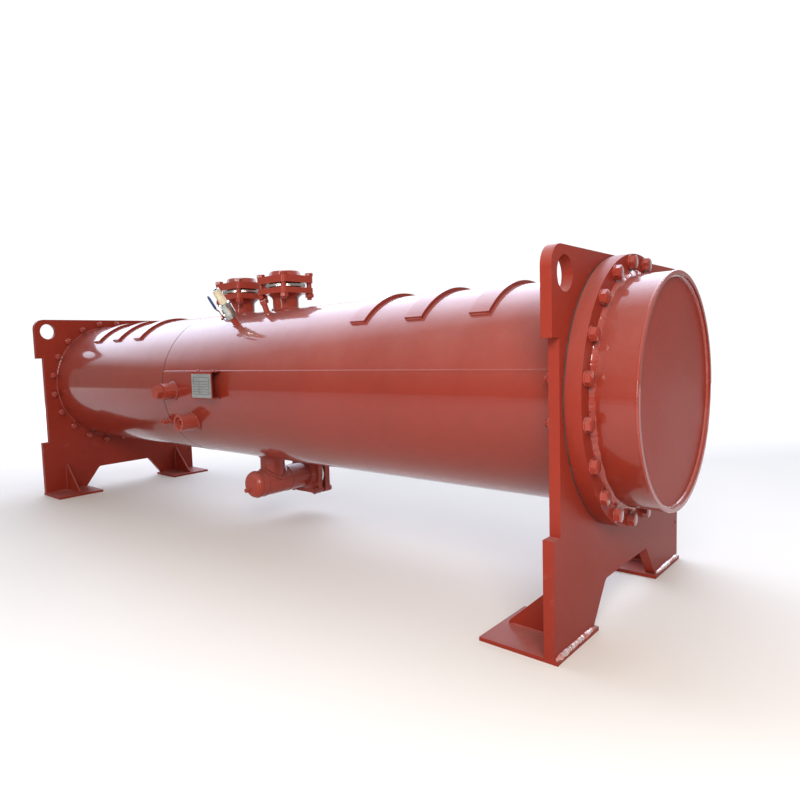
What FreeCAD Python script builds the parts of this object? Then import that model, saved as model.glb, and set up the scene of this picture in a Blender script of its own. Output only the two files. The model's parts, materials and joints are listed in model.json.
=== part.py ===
import FreeCAD, Part
import Sketcher
import os
import re

# Shell and tube heat exchanger, fixed plant, lying along X on four welded feet.
# Millimetres and degrees, +Z up. The origin is on the floor, in the middle of the box round the whole
# exchanger. +X is the end with the plain cover, -X the end with the water nozzles, -Y the valve side.

SIZES = {
    "shell_radius": 300,
    "shell_wall": 10,
    "axis_height": 582,
    "axis_shift": 54,
    "seam_place": -329,
    "sheet_span": 2830,
    "sheet_thick": 26,
    "sheet_side": 96,
    "sheet_above": 44,
    "sheet_corner": 48,
    "notch_deep": 35,
    "notch_below": 302,
    "notch_above": 142,
    "eye_radius": 40,
    "eye_side_gap": 67,
    "eye_top_gap": 62,
    "leg_wide": 217,
    "leg_slant": 80.5,
    "leg_gap_height": 111,
    "leg_gap_corner": 22,
    "leg_hole_radius": 5.5,
    "leg_hole_side": 22,
    "leg_hole_height": 125,
    "foot_thick": 10,
    "foot_width": 232,
    "foot_length": 198,
    "foot_proud": 7,
    "gusset_thick": 10,
    "gusset_height": 142,
    "gusset_tip": 8,
    "gusset_short": 20,
    "gasket_thick": 3,
    "ring_lip": 45,
    "ring_thick": 38,
    "box_inset": 6,
    "box_wall": 10,
    "box_length": 101,
    "cover_thick": 25,
    "cover_recess": 10,
    "end_bolt_room": 25,
    "end_bolt_count": 20,
    "end_bolt_hole": 11,
    "strip_width": 60,
    "strip_thick": 10,
    "strip_spread": 90,
    "strip_near_place": 916,
    "strip_near_pitch": 216,
    "strip_far_place": -870,
    "strip_far_pitch": 202,
    "nozzle_near_place": 128,
    "nozzle_far_place": -150,
    "nozzle_radius": 51,
    "nozzle_wall": 6,
    "nozzle_stand": 58,
    "hub_radius": 69,
    "hub_height": 16,
    "square_side": 166,
    "square_corner": 20,
    "square_thick": 22,
    "square_bolt_pitch": 134,
    "square_bolt_hole": 11,
    "tongue_radius": 62,
    "tongue_height": 5,
    "seal_radius": 80,
    "seal_thick": 9,
    "blank_thick": 27,
    "boss_radius": 65,
    "boss_top_radius": 58,
    "boss_height": 20,
    "outlet_place": 2,
    "outlet_stand": 105,
    "barrel_radius": 54,
    "barrel_step": 3,
    "outlet_end_reach": 119,
    "outlet_end_round": 24,
    "outlet_flange_reach": 184,
    "drain_radius": 9,
    "drain_length": 16,
    "drain_side": 16,
    "drain_low": 21,
    "coupling_radius": 33,
    "coupling_bore": 24,
    "coupling_upper_place": -248,
    "coupling_upper_below": 11,
    "coupling_upper_stand": 57,
    "coupling_lower_place": -157,
    "coupling_lower_below": 134,
    "coupling_lower_stand": 40,
    "fit_gap": 0.3,
    "plug_thick": 20,
    "plug_recess": 9,
    "plug_socket": 17,
    "plug_socket_deep": 10,
    "plug_flats": 48,
    "plug_head_height": 25,
    "side_stub_place": -345,
    "side_stub_below": 144,
    "side_stub_radius": 12,
    "side_stub_bore": 7,
    "side_stub_bore_deep": 8,
    "side_stub_stand": 1,
    "vent_place": 148,
    "vent_tilt": 22,
    "vent_radius": 11,
    "vent_stand": 40,
    "vent_cap_flats": 24,
    "vent_cap_height": 15,
    "plate_place": 14,
    "plate_above": 16,
    "plate_wide": 125,
    "plate_tall": 90,
    "plate_thick": 2,
    "plate_margin": 3,
    "bracket_stand": 37,
    "bracket_lip": 5,
    "bracket_wall": 3,
    "valve_place": 35,
    "valve_tilt": 35.5,
    "valve_pipe_radius": 13.45,
    "valve_pipe_wall": 3,
    "valve_turn": -33,
    "valve_stand": 37,
    "valve_length": 60,
    "valve_flats": 42,
    "valve_flat_length": 14,
    "valve_barrel_radius": 23,
    "valve_outlet_run": 63,
    "wrap_low_radius": 16.5,
    "wrap_top_radius": 14.5,
    "wrap_bottom_gap": 4,
    "wrap_top_gap": 10,
    "stem_radius": 8,
    "stem_boss_radius": 13,
    "stem_boss_reach": 25,
    "stem_place": 18,
    "stem_nut_height": 8,
    "stem_engaged": 12,
    "lever_wide": 16,
    "lever_thick": 3.5,
    "lever_seat": 30,
    "lever_run": 27,
    "lever_rise": 6,
    "lever_rise_run": 10,
    "grip_run": 62,
    "grip_wall": 1.7,
    "grip_closed_end": 3,
    "lever_tail": 12,
    "stem_nut_flats": 19,
    "water_radius": 57,
    "water_wall": 6,
    "water_reach": 120,
    "water_spread": 135,
    "water_flange_radius": 110,
    "water_flange_thick": 20,
    "water_bolt_circle": 90,
    "water_bolt_hole": 9,
    "water_bolt_count": 8,
}

doc = FreeCAD.newDocument("shell_and_tube_heat_exchanger")
sheet = doc.addObject("Spreadsheet::Sheet", "Sizes")
for row, (alias, size) in enumerate(SIZES.items(), start=1):
    sheet.set(f"A{row}", alias)
    sheet.set(f"B{row}", str(size))
    sheet.setAlias(f"B{row}", alias)
doc.recompute()

# Places along X, from the middle between the two tubesheets. The box round the whole exchanger reaches
# further at the water nozzles than at the plain cover, so that middle lies half the difference to +X.
MIDDLE = "((water_reach - cover_recess) / 2)"
PLAIN_FACE = f"({MIDDLE} + sheet_span / 2)"
WATER_FACE = f"({MIDDLE} - sheet_span / 2)"
SEAM = f"({MIDDLE} + seam_place)"
AXIS_Y = "(-axis_shift)"
AXIS_Z = "axis_height"
SHEET_HALF = "(axis_shift + shell_radius + sheet_side)"
SHEET_TOP = "(axis_height + shell_radius + sheet_above)"
RING_RADIUS = "(shell_radius + ring_lip)"
BOLT_CIRCLE = "(shell_radius + end_bolt_room)"
BOX_RADIUS = "(shell_radius - box_inset)"
NOZZLE_TOP = "(shell_radius + nozzle_stand)"
RING_DEPTH = "(gasket_thick + ring_thick)"
COVER_DEPTH = f"({RING_DEPTH} + box_length - cover_recess)"
JOINT_GAP = "(2 * tongue_height + seal_thick)"
OUTLET_DROP = "(shell_radius + outlet_stand)"
OUTLET_Z = f"(axis_height - {OUTLET_DROP})"
VENT_END = "(shell_radius + vent_stand)"
BRACKET_REACH = "(shell_radius + bracket_stand)"
VALVE_START = "(shell_radius + valve_stand)"
VALVE_END = f"({VALVE_START} + valve_length)"
STEM_PLACE = f"({VALVE_START} + stem_place)"


def linked(text):
    """An expression with every size name read from the sheet."""
    return re.sub(r"[a-z]\w*", lambda word: "Sizes." + word.group() if word.group() in SIZES
                  else word.group(), text)


def value(text):
    return float(sheet.evalExpression(linked(text)))


def bind(item, prop, text):
    item.setExpression(prop, linked(text))


def place(item, x="0", y="0", z="0", tilt=None, axis=(1, 0, 0)):
    """Put an object at x, y, z, after turning it by tilt degrees about an axis."""
    turn = FreeCAD.Rotation(FreeCAD.Vector(*axis), value(tilt) if tilt else 0)
    item.Placement = FreeCAD.Placement(FreeCAD.Vector(value(x), value(y), value(z)), turn)
    for letter, text in (("x", x), ("y", y), ("z", z)):
        bind(item, f"Placement.Base.{letter}", text)
    if tilt:
        bind(item, "Placement.Rotation.Angle", tilt)
    return item


def new_body(label):
    made = doc.addObject("PartDesign::Body", label)
    made.Label = label
    return made


def new_sketch(body, role):
    made = body.newObject("Sketcher::SketchObject", body.Name + "_sketch")
    plane = [item for item in body.Origin.OriginFeatures if item.Role == role][0]
    made.AttachmentSupport = [(plane, "")]
    made.MapMode = "FlatFace"
    return made


def fix_point(sketch, geometry, corner, x, y):
    """Hold one point of a sketch at x, y from the origin."""
    for kind, text in (("DistanceX", x), ("DistanceY", y)):
        index = sketch.addConstraint(Sketcher.Constraint(kind, -1, 1, geometry, corner, value(text)))
        bind(sketch, f"Constraints[{index}]", text)


def draw_circle(sketch, radius, x="0", y="0"):
    centre = FreeCAD.Vector(value(x), value(y), 0)
    circle = sketch.addGeometry(Part.Circle(centre, FreeCAD.Vector(0, 0, 1), value(radius)))
    index = sketch.addConstraint(Sketcher.Constraint("Radius", circle, value(radius)))
    bind(sketch, f"Constraints[{index}]", radius)
    if x == "0" and y == "0":
        sketch.addConstraint(Sketcher.Constraint("Coincident", circle, 3, -1, 1))
    else:
        fix_point(sketch, circle, 3, x, y)


def draw_outline(sketch, points):
    """A closed outline of straight lines, with every corner held from the sizes."""
    corners = [FreeCAD.Vector(value(x), value(y), 0) for x, y in points]
    lines = []
    for index, corner in enumerate(corners):
        following = corners[(index + 1) % len(corners)]
        lines.append(sketch.addGeometry(Part.LineSegment(corner, following)))
    for index, line in enumerate(lines):
        following = lines[(index + 1) % len(lines)]
        sketch.addConstraint(Sketcher.Constraint("Coincident", line, 2, following, 1))
        fix_point(sketch, line, 1, *points[index])


def pad(body, sketch, length, reverse=False):
    made = body.newObject("PartDesign::Pad", body.Name + "_pad")
    made.Profile = sketch
    made.Reversed = reverse
    made.Length = value(length)
    bind(made, "Length", length)
    sketch.Visibility = False
    return made


def pocket_through(body, sketch, length):
    """Cut a sketch's shape through the solid that stands in front of it."""
    made = body.newObject("PartDesign::Pocket", body.Name + "_pocket")
    made.Profile = sketch
    made.Reversed = True
    made.Length = value(length)
    bind(made, "Length", length)
    sketch.Visibility = False
    return made


def round_edges(body, feature, radius, wanted):
    """Round the edges of a feature whose middle points pass the test."""
    doc.recompute()
    names = [f"Edge{number}" for number, edge in enumerate(feature.Shape.Edges, start=1)
             if wanted(edge)]
    made = body.newObject("PartDesign::Fillet", body.Name + "_round")
    made.Base = (feature, names)
    made.Radius = value(radius)
    bind(made, "Radius", radius)
    return made


def along(edge, direction):
    """True for a straight edge that runs along a direction."""
    if edge.Curve.TypeId != "Part::GeomLine":
        return False
    return abs(abs(edge.tangentAt(edge.FirstParameter).dot(direction)) - 1) < 1e-6


def turned_about_x(label, outer, inner, length, x):
    """A round plate or tube about the shell's axis, growing to +X from x."""
    body = new_body(label)
    sketch = new_sketch(body, "YZ_Plane")
    draw_circle(sketch, outer)
    if inner:
        draw_circle(sketch, inner)
    pad(body, sketch, length)
    return place(body, x, AXIS_Y, AXIS_Z)


def add_ring_holes(body, radius, hole, count, length):
    """A circle of bolt holes that straddles the upright centre line."""
    base = body.Tip
    sketch = new_sketch(body, "YZ_Plane")
    half_step = f"(180 / {count})"
    draw_circle(sketch, hole, f"{radius} * sin({half_step})", f"{radius} * cos({half_step})")
    cut = pocket_through(body, sketch, length)
    doc.recompute()
    if cut.Shape.Volume > base.Shape.Volume - 1:
        raise RuntimeError(f"no hole cut in {body.Label}")
    pattern = body.newObject("PartDesign::PolarPattern", body.Name + "_pattern")
    pattern.Originals = [cut]
    pattern.Axis = ([item for item in body.Origin.OriginFeatures if item.Role == "X_Axis"][0], [""])
    pattern.Angle = 360
    pattern.Occurrences = int(value(count))
    bind(pattern, "Occurrences", count)
    body.Tip = pattern
    return body


def side_tube(label, outer, inner, start, end, x, tilt, z=AXIS_Z):
    """A tube that stands away from the line through the shell's middle, tilted towards -Y."""
    body = new_body(label)
    sketch = new_sketch(body, "XY_Plane")
    draw_circle(sketch, outer)
    if inner:
        draw_circle(sketch, inner)
    pad(body, sketch, f"{end} - {start}")
    sketch.AttachmentOffset.Base.z = value(start)
    bind(sketch, "AttachmentOffset.Base.z", start)
    return place(body, f"{MIDDLE} + {x}", AXIS_Y, z, tilt)


def cylinder(name, radius, height, x="0", y="0", z="0", tilt=None, axis=(1, 0, 0)):
    made = doc.addObject("Part::Cylinder", name)
    bind(made, "Radius", radius)
    bind(made, "Height", height)
    return place(made, x, y, z, tilt, axis)


def cone(name, low, high, height, x="0", y="0", z="0", tilt=None):
    made = doc.addObject("Part::Cone", name)
    bind(made, "Radius1", low)
    bind(made, "Radius2", high)
    bind(made, "Height", height)
    return place(made, x, y, z, tilt)


def box(name, length, width, height, x="0", y="0", z="0"):
    made = doc.addObject("Part::Box", name)
    bind(made, "Length", length)
    bind(made, "Width", width)
    bind(made, "Height", height)
    return place(made, x, y, z)


def hexagon(name, flats, height, x="0", y="0", z="0", tilt=None):
    made = doc.addObject("Part::Prism", name)
    made.Polygon = 6
    bind(made, "Circumradius", f"{flats} / 2 / cos(30)")
    bind(made, "Height", height)
    return place(made, x, y, z, tilt)


def joined(label, pieces):
    made = doc.addObject("Part::MultiFuse", label)
    made.Label = label
    made.Shapes = pieces
    return made


def cut_from(label, base, tool):
    made = doc.addObject("Part::Cut", label)
    made.Label = label
    made.Base = base
    made.Tool = tool
    return made


def grouped(label, pieces):
    made = doc.addObject("Part::Compound", label)
    made.Label = label
    made.Links = pieces
    return made


def end_x(end, near, thick):
    """The lower x of a plate that starts a distance outside a tubesheet's outer face."""
    if end == "plain":
        return f"{PLAIN_FACE} + {near}"
    return f"{WATER_FACE} - ({near}) - {thick}"


def make_shell():
    """Two rolled courses of plate, butted at the girth seam, with a hole under each nozzle."""
    turned_about_x("shell_short_course", "shell_radius", "shell_radius - shell_wall",
                   f"{SEAM} - {WATER_FACE} - sheet_thick", f"{WATER_FACE} + sheet_thick")
    course = turned_about_x("shell_long_course_plate", "shell_radius", "shell_radius - shell_wall",
                            f"{PLAIN_FACE} - sheet_thick - {SEAM}", SEAM)
    bore = "nozzle_radius - nozzle_wall"
    holes = [cylinder(f"shell_hole_{number}", bore, "shell_radius * 2", f"{MIDDLE} + {x}", AXIS_Y, AXIS_Z,
                      tilt)
             for number, (x, tilt) in enumerate((("nozzle_near_place", None), ("nozzle_far_place", None),
                                                 ("outlet_place", "180")), start=1)]
    cut_from("shell_long_course", course, joined("shell_holes", holes))


def make_tubesheet(end):
    """A plate as wide as the stand, with two legs, side notches, lifting eyes and a bolt circle."""
    half = SHEET_HALF
    narrow = f"({SHEET_HALF} - notch_deep)"
    foot = f"({SHEET_HALF} - leg_wide)"
    low = "(axis_height - notch_below)"
    high = "(axis_height + notch_above)"
    right = [(f"({foot} - leg_slant)", "leg_gap_height"), (foot, "foot_thick"), (half, "foot_thick"),
             (half, low), (narrow, low), (narrow, high), (half, high), (half, SHEET_TOP)]
    left = [(f"-{y}", z) for y, z in reversed(right)]
    body = new_body(f"tubesheet_{end}_end")
    sketch = new_sketch(body, "YZ_Plane")
    draw_outline(sketch, [(f"{y} + axis_shift", f"{z} - axis_height") for y, z in right + left])
    for sign in ("", "-"):
        draw_circle(sketch, "eye_radius", f"{sign}({half} - eye_side_gap) + axis_shift",
                    f"{SHEET_TOP} - eye_top_gap - axis_height")
    draw_circle(sketch, "leg_hole_radius", f"{half} - leg_hole_side + axis_shift",
                "leg_hole_height - axis_height")
    plate = pad(body, sketch, "sheet_thick")
    top = value(f"{SHEET_TOP} - axis_height")
    gap_top = value("leg_gap_height - axis_height")
    corners = round_edges(body, plate, "sheet_corner", lambda edge: along(edge, FreeCAD.Vector(1, 0, 0))
                          and abs(edge.CenterOfMass.z - top) < 1e-6)
    round_edges(body, corners, "leg_gap_corner", lambda edge: along(edge, FreeCAD.Vector(1, 0, 0))
                and abs(edge.CenterOfMass.z - gap_top) < 1e-6)
    add_ring_holes(body, BOLT_CIRCLE, "end_bolt_hole", "end_bolt_count", "sheet_thick")
    place(body, end_x(end, "(-sheet_thick)", "sheet_thick"), AXIS_Y, AXIS_Z)


def make_stand(end):
    """Two foot plates under the tubesheet's legs, each with a gusset behind the leg."""
    feet = []
    gussets = []
    inner = "(foot_length - foot_proud - sheet_thick)"
    for side, y in (("valve_side", f"-{SHEET_HALF}"), ("back", f"{SHEET_HALF} - foot_width")):
        feet.append(box(f"foot_{end}_{side}", "foot_length", "foot_width", "foot_thick",
                        end_x(end, "(foot_proud - foot_length)", "foot_length"), y))
        body = new_body(f"gusset_{end}_{side}")
        sketch = new_sketch(body, "XZ_Plane")
        sign = "-" if end == "plain" else ""
        run = f"({inner} - gusset_short)"
        outline = [("0", "0"), (run, "0"), (run, "gusset_tip"), ("gusset_tip", "gusset_height"),
                   ("0", "gusset_height")]
        draw_outline(sketch, [(f"{sign}{x}" if x != "0" else x, z) for x, z in outline])
        pad(body, sketch, "gusset_thick")
        inner_face = f"{PLAIN_FACE} - sheet_thick" if end == "plain" else f"{WATER_FACE} + sheet_thick"
        place(body, inner_face, f"{y} + (foot_width + gusset_thick) / 2", "foot_thick")
        gussets.append(body)
    grouped(f"foot_plates_{end}_end", feet)
    grouped(f"gussets_{end}_end", gussets)


def make_water_box(end):
    """A gasket, a bolted ring, a short drum welded to it and a flat cover let into the drum."""
    inner = f"{BOX_RADIUS} - box_wall"
    for label, start, thick in ((f"gasket_{end}_end", "0", "gasket_thick"),
                                (f"ring_flange_{end}_end", "gasket_thick", "ring_thick")):
        plate = turned_about_x(label, RING_RADIUS, inner, thick, end_x(end, start, thick))
        add_ring_holes(plate, BOLT_CIRCLE, "end_bolt_hole", "end_bolt_count", thick)
    turned_about_x(f"water_box_{end}_end", BOX_RADIUS, inner, "box_length",
                   end_x(end, RING_DEPTH, "box_length"))
    cover_x = end_x(end, f"{COVER_DEPTH} - cover_thick", "cover_thick")
    label = f"end_cover_{end}_end"
    if end == "plain":
        turned_about_x(label, f"{inner} - fit_gap", None, "cover_thick", cover_x)
        return
    disc = turned_about_x(label + "_disc", f"{inner} - fit_gap", None, "cover_thick", cover_x)
    holes = [cylinder(f"cover_hole_{name}", "water_radius - water_wall", "cover_thick * 2",
                      f"{cover_x} - cover_thick / 2", AXIS_Y, f"{AXIS_Z} {sign} water_spread", "90",
                      (0, 1, 0)) for name, sign in (("upper", "+"), ("lower", "-"))]
    cut_from(label, disc, joined("cover_holes", holes))


def make_water_nozzles():
    """Two flanged pipes on the water end's cover, one over the other."""
    bore = "water_radius - water_wall"
    run = "(water_reach - water_flange_thick)"
    for name, sign in (("upper", "+"), ("lower", "-")):
        height = f"{AXIS_Z} {sign} water_spread"
        pipe = turned_about_x(f"water_pipe_{name}", "water_radius", bore, run,
                              f"{WATER_FACE} - {COVER_DEPTH} - {run}")
        place(pipe, f"{WATER_FACE} - {COVER_DEPTH} - {run}", AXIS_Y, height)
        flange_x = f"{WATER_FACE} - {COVER_DEPTH} - water_reach"
        flange = turned_about_x(f"water_flange_{name}", "water_flange_radius", bore,
                                "water_flange_thick", flange_x)
        add_ring_holes(flange, "water_bolt_circle", "water_bolt_hole", "water_bolt_count",
                       "water_flange_thick")
        place(flange, flange_x, AXIS_Y, height)


def make_strips(end, middle, pitch):
    """Three flat bars bent over the top of the shell."""
    strips = []
    for number, step in enumerate(("-1", "0", "1"), start=1):
        body = new_body(f"strip_{end}_{number}")
        sketch = new_sketch(body, "XZ_Plane")
        low = "shell_radius + fit_gap"
        high = "shell_radius + fit_gap + strip_thick"
        draw_outline(sketch, [("-strip_width / 2", low), ("strip_width / 2", low),
                              ("strip_width / 2", high), ("-strip_width / 2", high)])
        bend = body.newObject("PartDesign::Revolution", body.Name + "_bend")
        bend.Profile = sketch
        bend.ReferenceAxis = ([item for item in body.Origin.OriginFeatures if item.Role == "X_Axis"][0],
                              [""])
        bend.Midplane = True
        bind(bend, "Angle", "strip_spread")
        place(body, f"{MIDDLE} + {middle} + {pitch} * {step}", AXIS_Y, AXIS_Z)
        strips.append(body)
    grouped(f"top_strips_{end}_end", strips)


def square_plate(name, thick, bore, bottom):
    """A square flange plate with rounded corners and four bolt holes, on the local Z axis."""
    body = new_body(name)
    sketch = new_sketch(body, "XY_Plane")
    half = "square_side / 2"
    draw_outline(sketch, [(f"-{half}", f"-{half}"), (half, f"-{half}"), (half, half), (f"-{half}", half)])
    if bore:
        draw_circle(sketch, bore)
    bolt = "square_bolt_pitch / 2"
    for x, y in ((bolt, bolt), (f"-{bolt}", bolt), (f"-{bolt}", f"-{bolt}"), (bolt, f"-{bolt}")):
        draw_circle(sketch, "square_bolt_hole", x, y)
    plate = pad(body, sketch, thick)
    round_edges(body, plate, "square_corner", lambda edge: along(edge, FreeCAD.Vector(0, 0, 1)))
    return place(body, z=bottom)


def make_square_joint(label, pipe, bore, x, y, z, tilt):
    """A square weld neck flange, a bright seal ring and a square blank, bolted as a stop end."""
    flange = joined(label + "_flange_solid", [
        square_plate(label + "_flange_plate", "square_thick", None, "0"),
        cone(label + "_hub", pipe, "hub_radius", "hub_height", z="-hub_height"),
        cylinder(label + "_tongue", "tongue_radius", "tongue_height", z="square_thick"),
    ])
    opening = cylinder(label + "_opening", bore, "hub_height + square_thick + tongue_height",
                       z="-hub_height")
    place(cut_from(label + "_flange", flange, opening), x, y, z, tilt)
    seal_low = "square_thick + tongue_height"
    ring = cylinder(label + "_seal_disc", "seal_radius", "seal_thick", z=seal_low)
    middle = cylinder(label + "_seal_bore", bore, "seal_thick", z=seal_low)
    place(cut_from(label + "_seal_ring", ring, middle), x, y, z, tilt)
    blank_low = f"square_thick + {JOINT_GAP}"
    blank = joined(label + "_blank_flange", [
        square_plate(label + "_blank_plate", "blank_thick", None, blank_low),
        cylinder(label + "_blank_tongue", "tongue_radius", "tongue_height",
                 z=f"{blank_low} - tongue_height"),
        cone(label + "_boss", "boss_radius", "boss_top_radius", "boss_height",
             z=f"{blank_low} + blank_thick"),
    ])
    place(blank, x, y, z, tilt)


def on_shell(label, piece, extra=()):
    """Cut a piece so that it sits on the outside of the shell."""
    outside = cylinder(label + "_seat", "shell_radius + fit_gap", "sheet_span",
                       f"{MIDDLE} - sheet_span / 2", AXIS_Y, AXIS_Z, "90", (0, 1, 0))
    tool = joined(label + "_seat_tools", [outside, *extra]) if extra else outside
    return cut_from(label, piece, tool)


def make_top_nozzle(label, x):
    neck = side_tube(label + "_pipe", "nozzle_radius", "nozzle_radius - nozzle_wall",
                       "(shell_radius - shell_wall * 3)", f"({NOZZLE_TOP} - hub_height)", x, None)
    on_shell(label + "_neck", neck)
    make_square_joint(label, "nozzle_radius", "nozzle_radius - nozzle_wall", f"{MIDDLE} + {x}", AXIS_Y,
                      f"{AXIS_Z} + {NOZZLE_TOP}", None)


def make_outlet():
    """A pipe down from the shell into a level barrel with a dished end and a square joint behind."""
    x = f"{MIDDLE} + outlet_place"
    drop = side_tube("outlet_drop", "nozzle_radius", "nozzle_radius - nozzle_wall",
                       "(shell_radius - shell_wall * 3)", OUTLET_DROP, "outlet_place", "180")
    around = cylinder("outlet_barrel_room", "barrel_radius + fit_gap", "outlet_end_reach * 2", x,
                      f"{AXIS_Y} - outlet_end_reach", OUTLET_Z, "-90")
    on_shell("outlet_drop_pipe", drop, (around,))
    blank = cylinder("outlet_barrel_blank", "barrel_radius",
                     "outlet_end_reach + outlet_flange_reach - hub_height", z="-outlet_end_reach")
    dished = doc.addObject("Part::Fillet", "outlet_barrel_dished")
    dished.Base = blank
    doc.recompute()
    low = -value("outlet_end_reach")
    rim = [number for number, edge in enumerate(blank.Shape.Edges, start=1)
           if edge.Curve.TypeId == "Part::GeomCircle" and abs(edge.CenterOfMass.z - low) < 1e-6]
    rounding = value("outlet_end_round")
    dished.Edges = [(number, rounding, rounding) for number in rim]
    room = cylinder("outlet_barrel_bore", "barrel_radius - nozzle_wall",
                    "outlet_end_reach + outlet_flange_reach", z="nozzle_wall * 2 - outlet_end_reach")
    inlet = cylinder("outlet_barrel_inlet", "nozzle_radius - nozzle_wall", "barrel_radius * 2",
                     tilt="90")
    place(cut_from("outlet_barrel", dished, joined("outlet_barrel_rooms", [room, inlet])), x, AXIS_Y,
          OUTLET_Z, "-90")
    plug = cylinder("outlet_drain_plug", "drain_radius", "drain_length",
                    f"{x} - drain_side", f"{AXIS_Y} - outlet_end_reach", f"{OUTLET_Z} - drain_low", "90")
    plug.Label = "outlet_drain_plug"
    make_square_joint("outlet", "barrel_radius", "barrel_radius - nozzle_wall - barrel_step", x,
                      f"{AXIS_Y} + outlet_flange_reach", OUTLET_Z, "-90")


def make_side_couplings():
    """Two heavy level couplings on the valve side, one with a hexagon plug and one with a sunk plug."""
    couplings = []
    for name in ("upper", "lower"):
        tube = side_tube(f"coupling_{name}_tube", "coupling_radius", "coupling_bore",
                         "(shell_radius / 2)", f"(shell_radius + coupling_{name}_stand)",
                         f"coupling_{name}_place", "90", f"{AXIS_Z} - coupling_{name}_below")
        couplings.append(on_shell(f"coupling_{name}", tube))
    grouped("side_couplings", couplings)
    upper = "(shell_radius + coupling_upper_stand)"
    lower = "(shell_radius + coupling_lower_stand - plug_recess)"
    radius = "coupling_bore - fit_gap"
    hexagon_plug = joined("plug_upper", [
        cylinder("plug_upper_thread", radius, "plug_thick", z=f"{upper} - plug_thick"),
        hexagon("plug_upper_head", "plug_flats", "plug_head_height", z=upper),
    ])
    sunk_plug = cut_from("plug_lower", cylinder("plug_lower_thread", radius, "plug_thick",
                                                z=f"{lower} - plug_thick"),
                         box("plug_lower_socket", "plug_socket", "plug_socket", "plug_thick",
                             "-plug_socket / 2", "-plug_socket / 2", f"{lower} - plug_socket_deep"))
    for name, plug in (("upper", hexagon_plug), ("lower", sunk_plug)):
        place(plug, f"{MIDDLE} + coupling_{name}_place", AXIS_Y, f"{AXIS_Z} - coupling_{name}_below", "90")
    grouped("coupling_plugs", [hexagon_plug, sunk_plug])


def make_small_stubs():
    """A recessed level stub low on the valve side and a capped vent between the top nozzles."""
    end = "(shell_radius + side_stub_stand)"
    low = f"{AXIS_Z} - side_stub_below"
    rod = side_tube("side_stub_rod", "side_stub_radius", None, "(shell_radius / 2)", end,
                    "side_stub_place", "90", low)
    recess = cylinder("side_stub_recess", "side_stub_bore", "side_stub_bore_deep * 2",
                      f"{MIDDLE} + side_stub_place", f"{AXIS_Y} - {end} + side_stub_bore_deep", low, "90")
    on_shell("side_stub", rod, (recess,))
    rod = side_tube("vent_rod", "vent_radius", None, "(shell_radius - shell_wall)", VENT_END, "vent_place",
                    "vent_tilt")
    on_shell("vent_stub", rod)
    cap = hexagon("vent_cap_nut", "vent_cap_flats", "vent_cap_height", z=VENT_END)
    place(grouped("vent_cap", [cap]), f"{MIDDLE} + vent_place", AXIS_Y, AXIS_Z, "vent_tilt")


def make_nameplate():
    """A bare plate on a bent bracket that stands off the shell."""
    wide = "(plate_wide + 2 * plate_margin)"
    tall = "(plate_tall + 2 * plate_margin + bracket_lip)"
    left = f"{MIDDLE} + plate_place - {wide} / 2"
    low = f"{AXIS_Z} + plate_above - plate_tall / 2 - plate_margin"
    front = f"{AXIS_Y} - {BRACKET_REACH}"
    depth = "bracket_stand + shell_wall"
    bent = box("bracket_block", wide, depth, tall, left, front, low)
    inside = box("bracket_inside", f"{wide} * 2", depth, f"{tall} - 2 * bracket_wall",
                 f"{left} - {wide} / 2", f"{front} + bracket_wall", f"{low} + bracket_wall")
    on_shell("nameplate_bracket", bent, (inside,))
    plate = box("nameplate", "plate_wide", "plate_thick", "plate_tall",
                f"{left} + plate_margin", f"{front} - plate_thick", f"{low} + plate_margin")
    plate.Label = "nameplate"


def turned_on_pipe(name, solid):
    """Turn a solid about the valve's pipe, so that its stem points to the water end."""
    place(solid, tilt="valve_turn", axis=(0, 0, 1))
    return grouped(name, [solid])


def make_valve():
    """A small ball valve on a stub, leaning to the valve side, with a wrapped pipe above it."""
    x = f"{MIDDLE} + valve_place"
    seat = (x, AXIS_Y, AXIS_Z, "valve_tilt")
    bore = "valve_pipe_radius - valve_pipe_wall"
    stub = side_tube("valve_stub_tube", "valve_pipe_radius", bore, "(shell_radius - shell_wall)",
                     VALVE_START, "valve_place", "valve_tilt")
    on_shell("valve_stub", stub)
    barrel = joined("valve_body_solid", [
        hexagon("valve_low_hexagon", "valve_flats", "valve_flat_length", z=VALVE_START),
        cylinder("valve_barrel", "valve_barrel_radius", "valve_length - 2 * valve_flat_length",
                 z=f"{VALVE_START} + valve_flat_length"),
        hexagon("valve_top_hexagon", "valve_flats", "valve_flat_length",
                z=f"{VALVE_END} - valve_flat_length"),
        cylinder("valve_stem_boss", "stem_boss_radius", "stem_boss_reach", z=STEM_PLACE, tilt="90"),
    ])
    bearing = cylinder("valve_bearing", "stem_radius + fit_gap", "stem_boss_reach",
                       y="stem_engaged + fit_gap - stem_boss_reach", z=STEM_PLACE, tilt="90")
    place(turned_on_pipe("valve_body", cut_from("valve_body_bored", barrel, bearing)), *seat)
    wrap_low = f"({VALVE_END} + wrap_bottom_gap)"
    wrap_run = "(valve_outlet_run - wrap_top_gap - wrap_bottom_gap)"
    side_tube("valve_outlet_pipe", "valve_pipe_radius", bore, VALVE_END,
              f"({VALVE_END} + valve_outlet_run)", "valve_place", "valve_tilt")
    wrap = cone("pipe_wrap_outside", "wrap_low_radius", "wrap_top_radius", wrap_run, z=wrap_low)
    inside = cylinder("pipe_wrap_inside", "valve_pipe_radius + fit_gap", wrap_run, z=wrap_low)
    place(cut_from("pipe_wrap", wrap, inside), *seat)
    make_lever(*seat)


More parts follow.
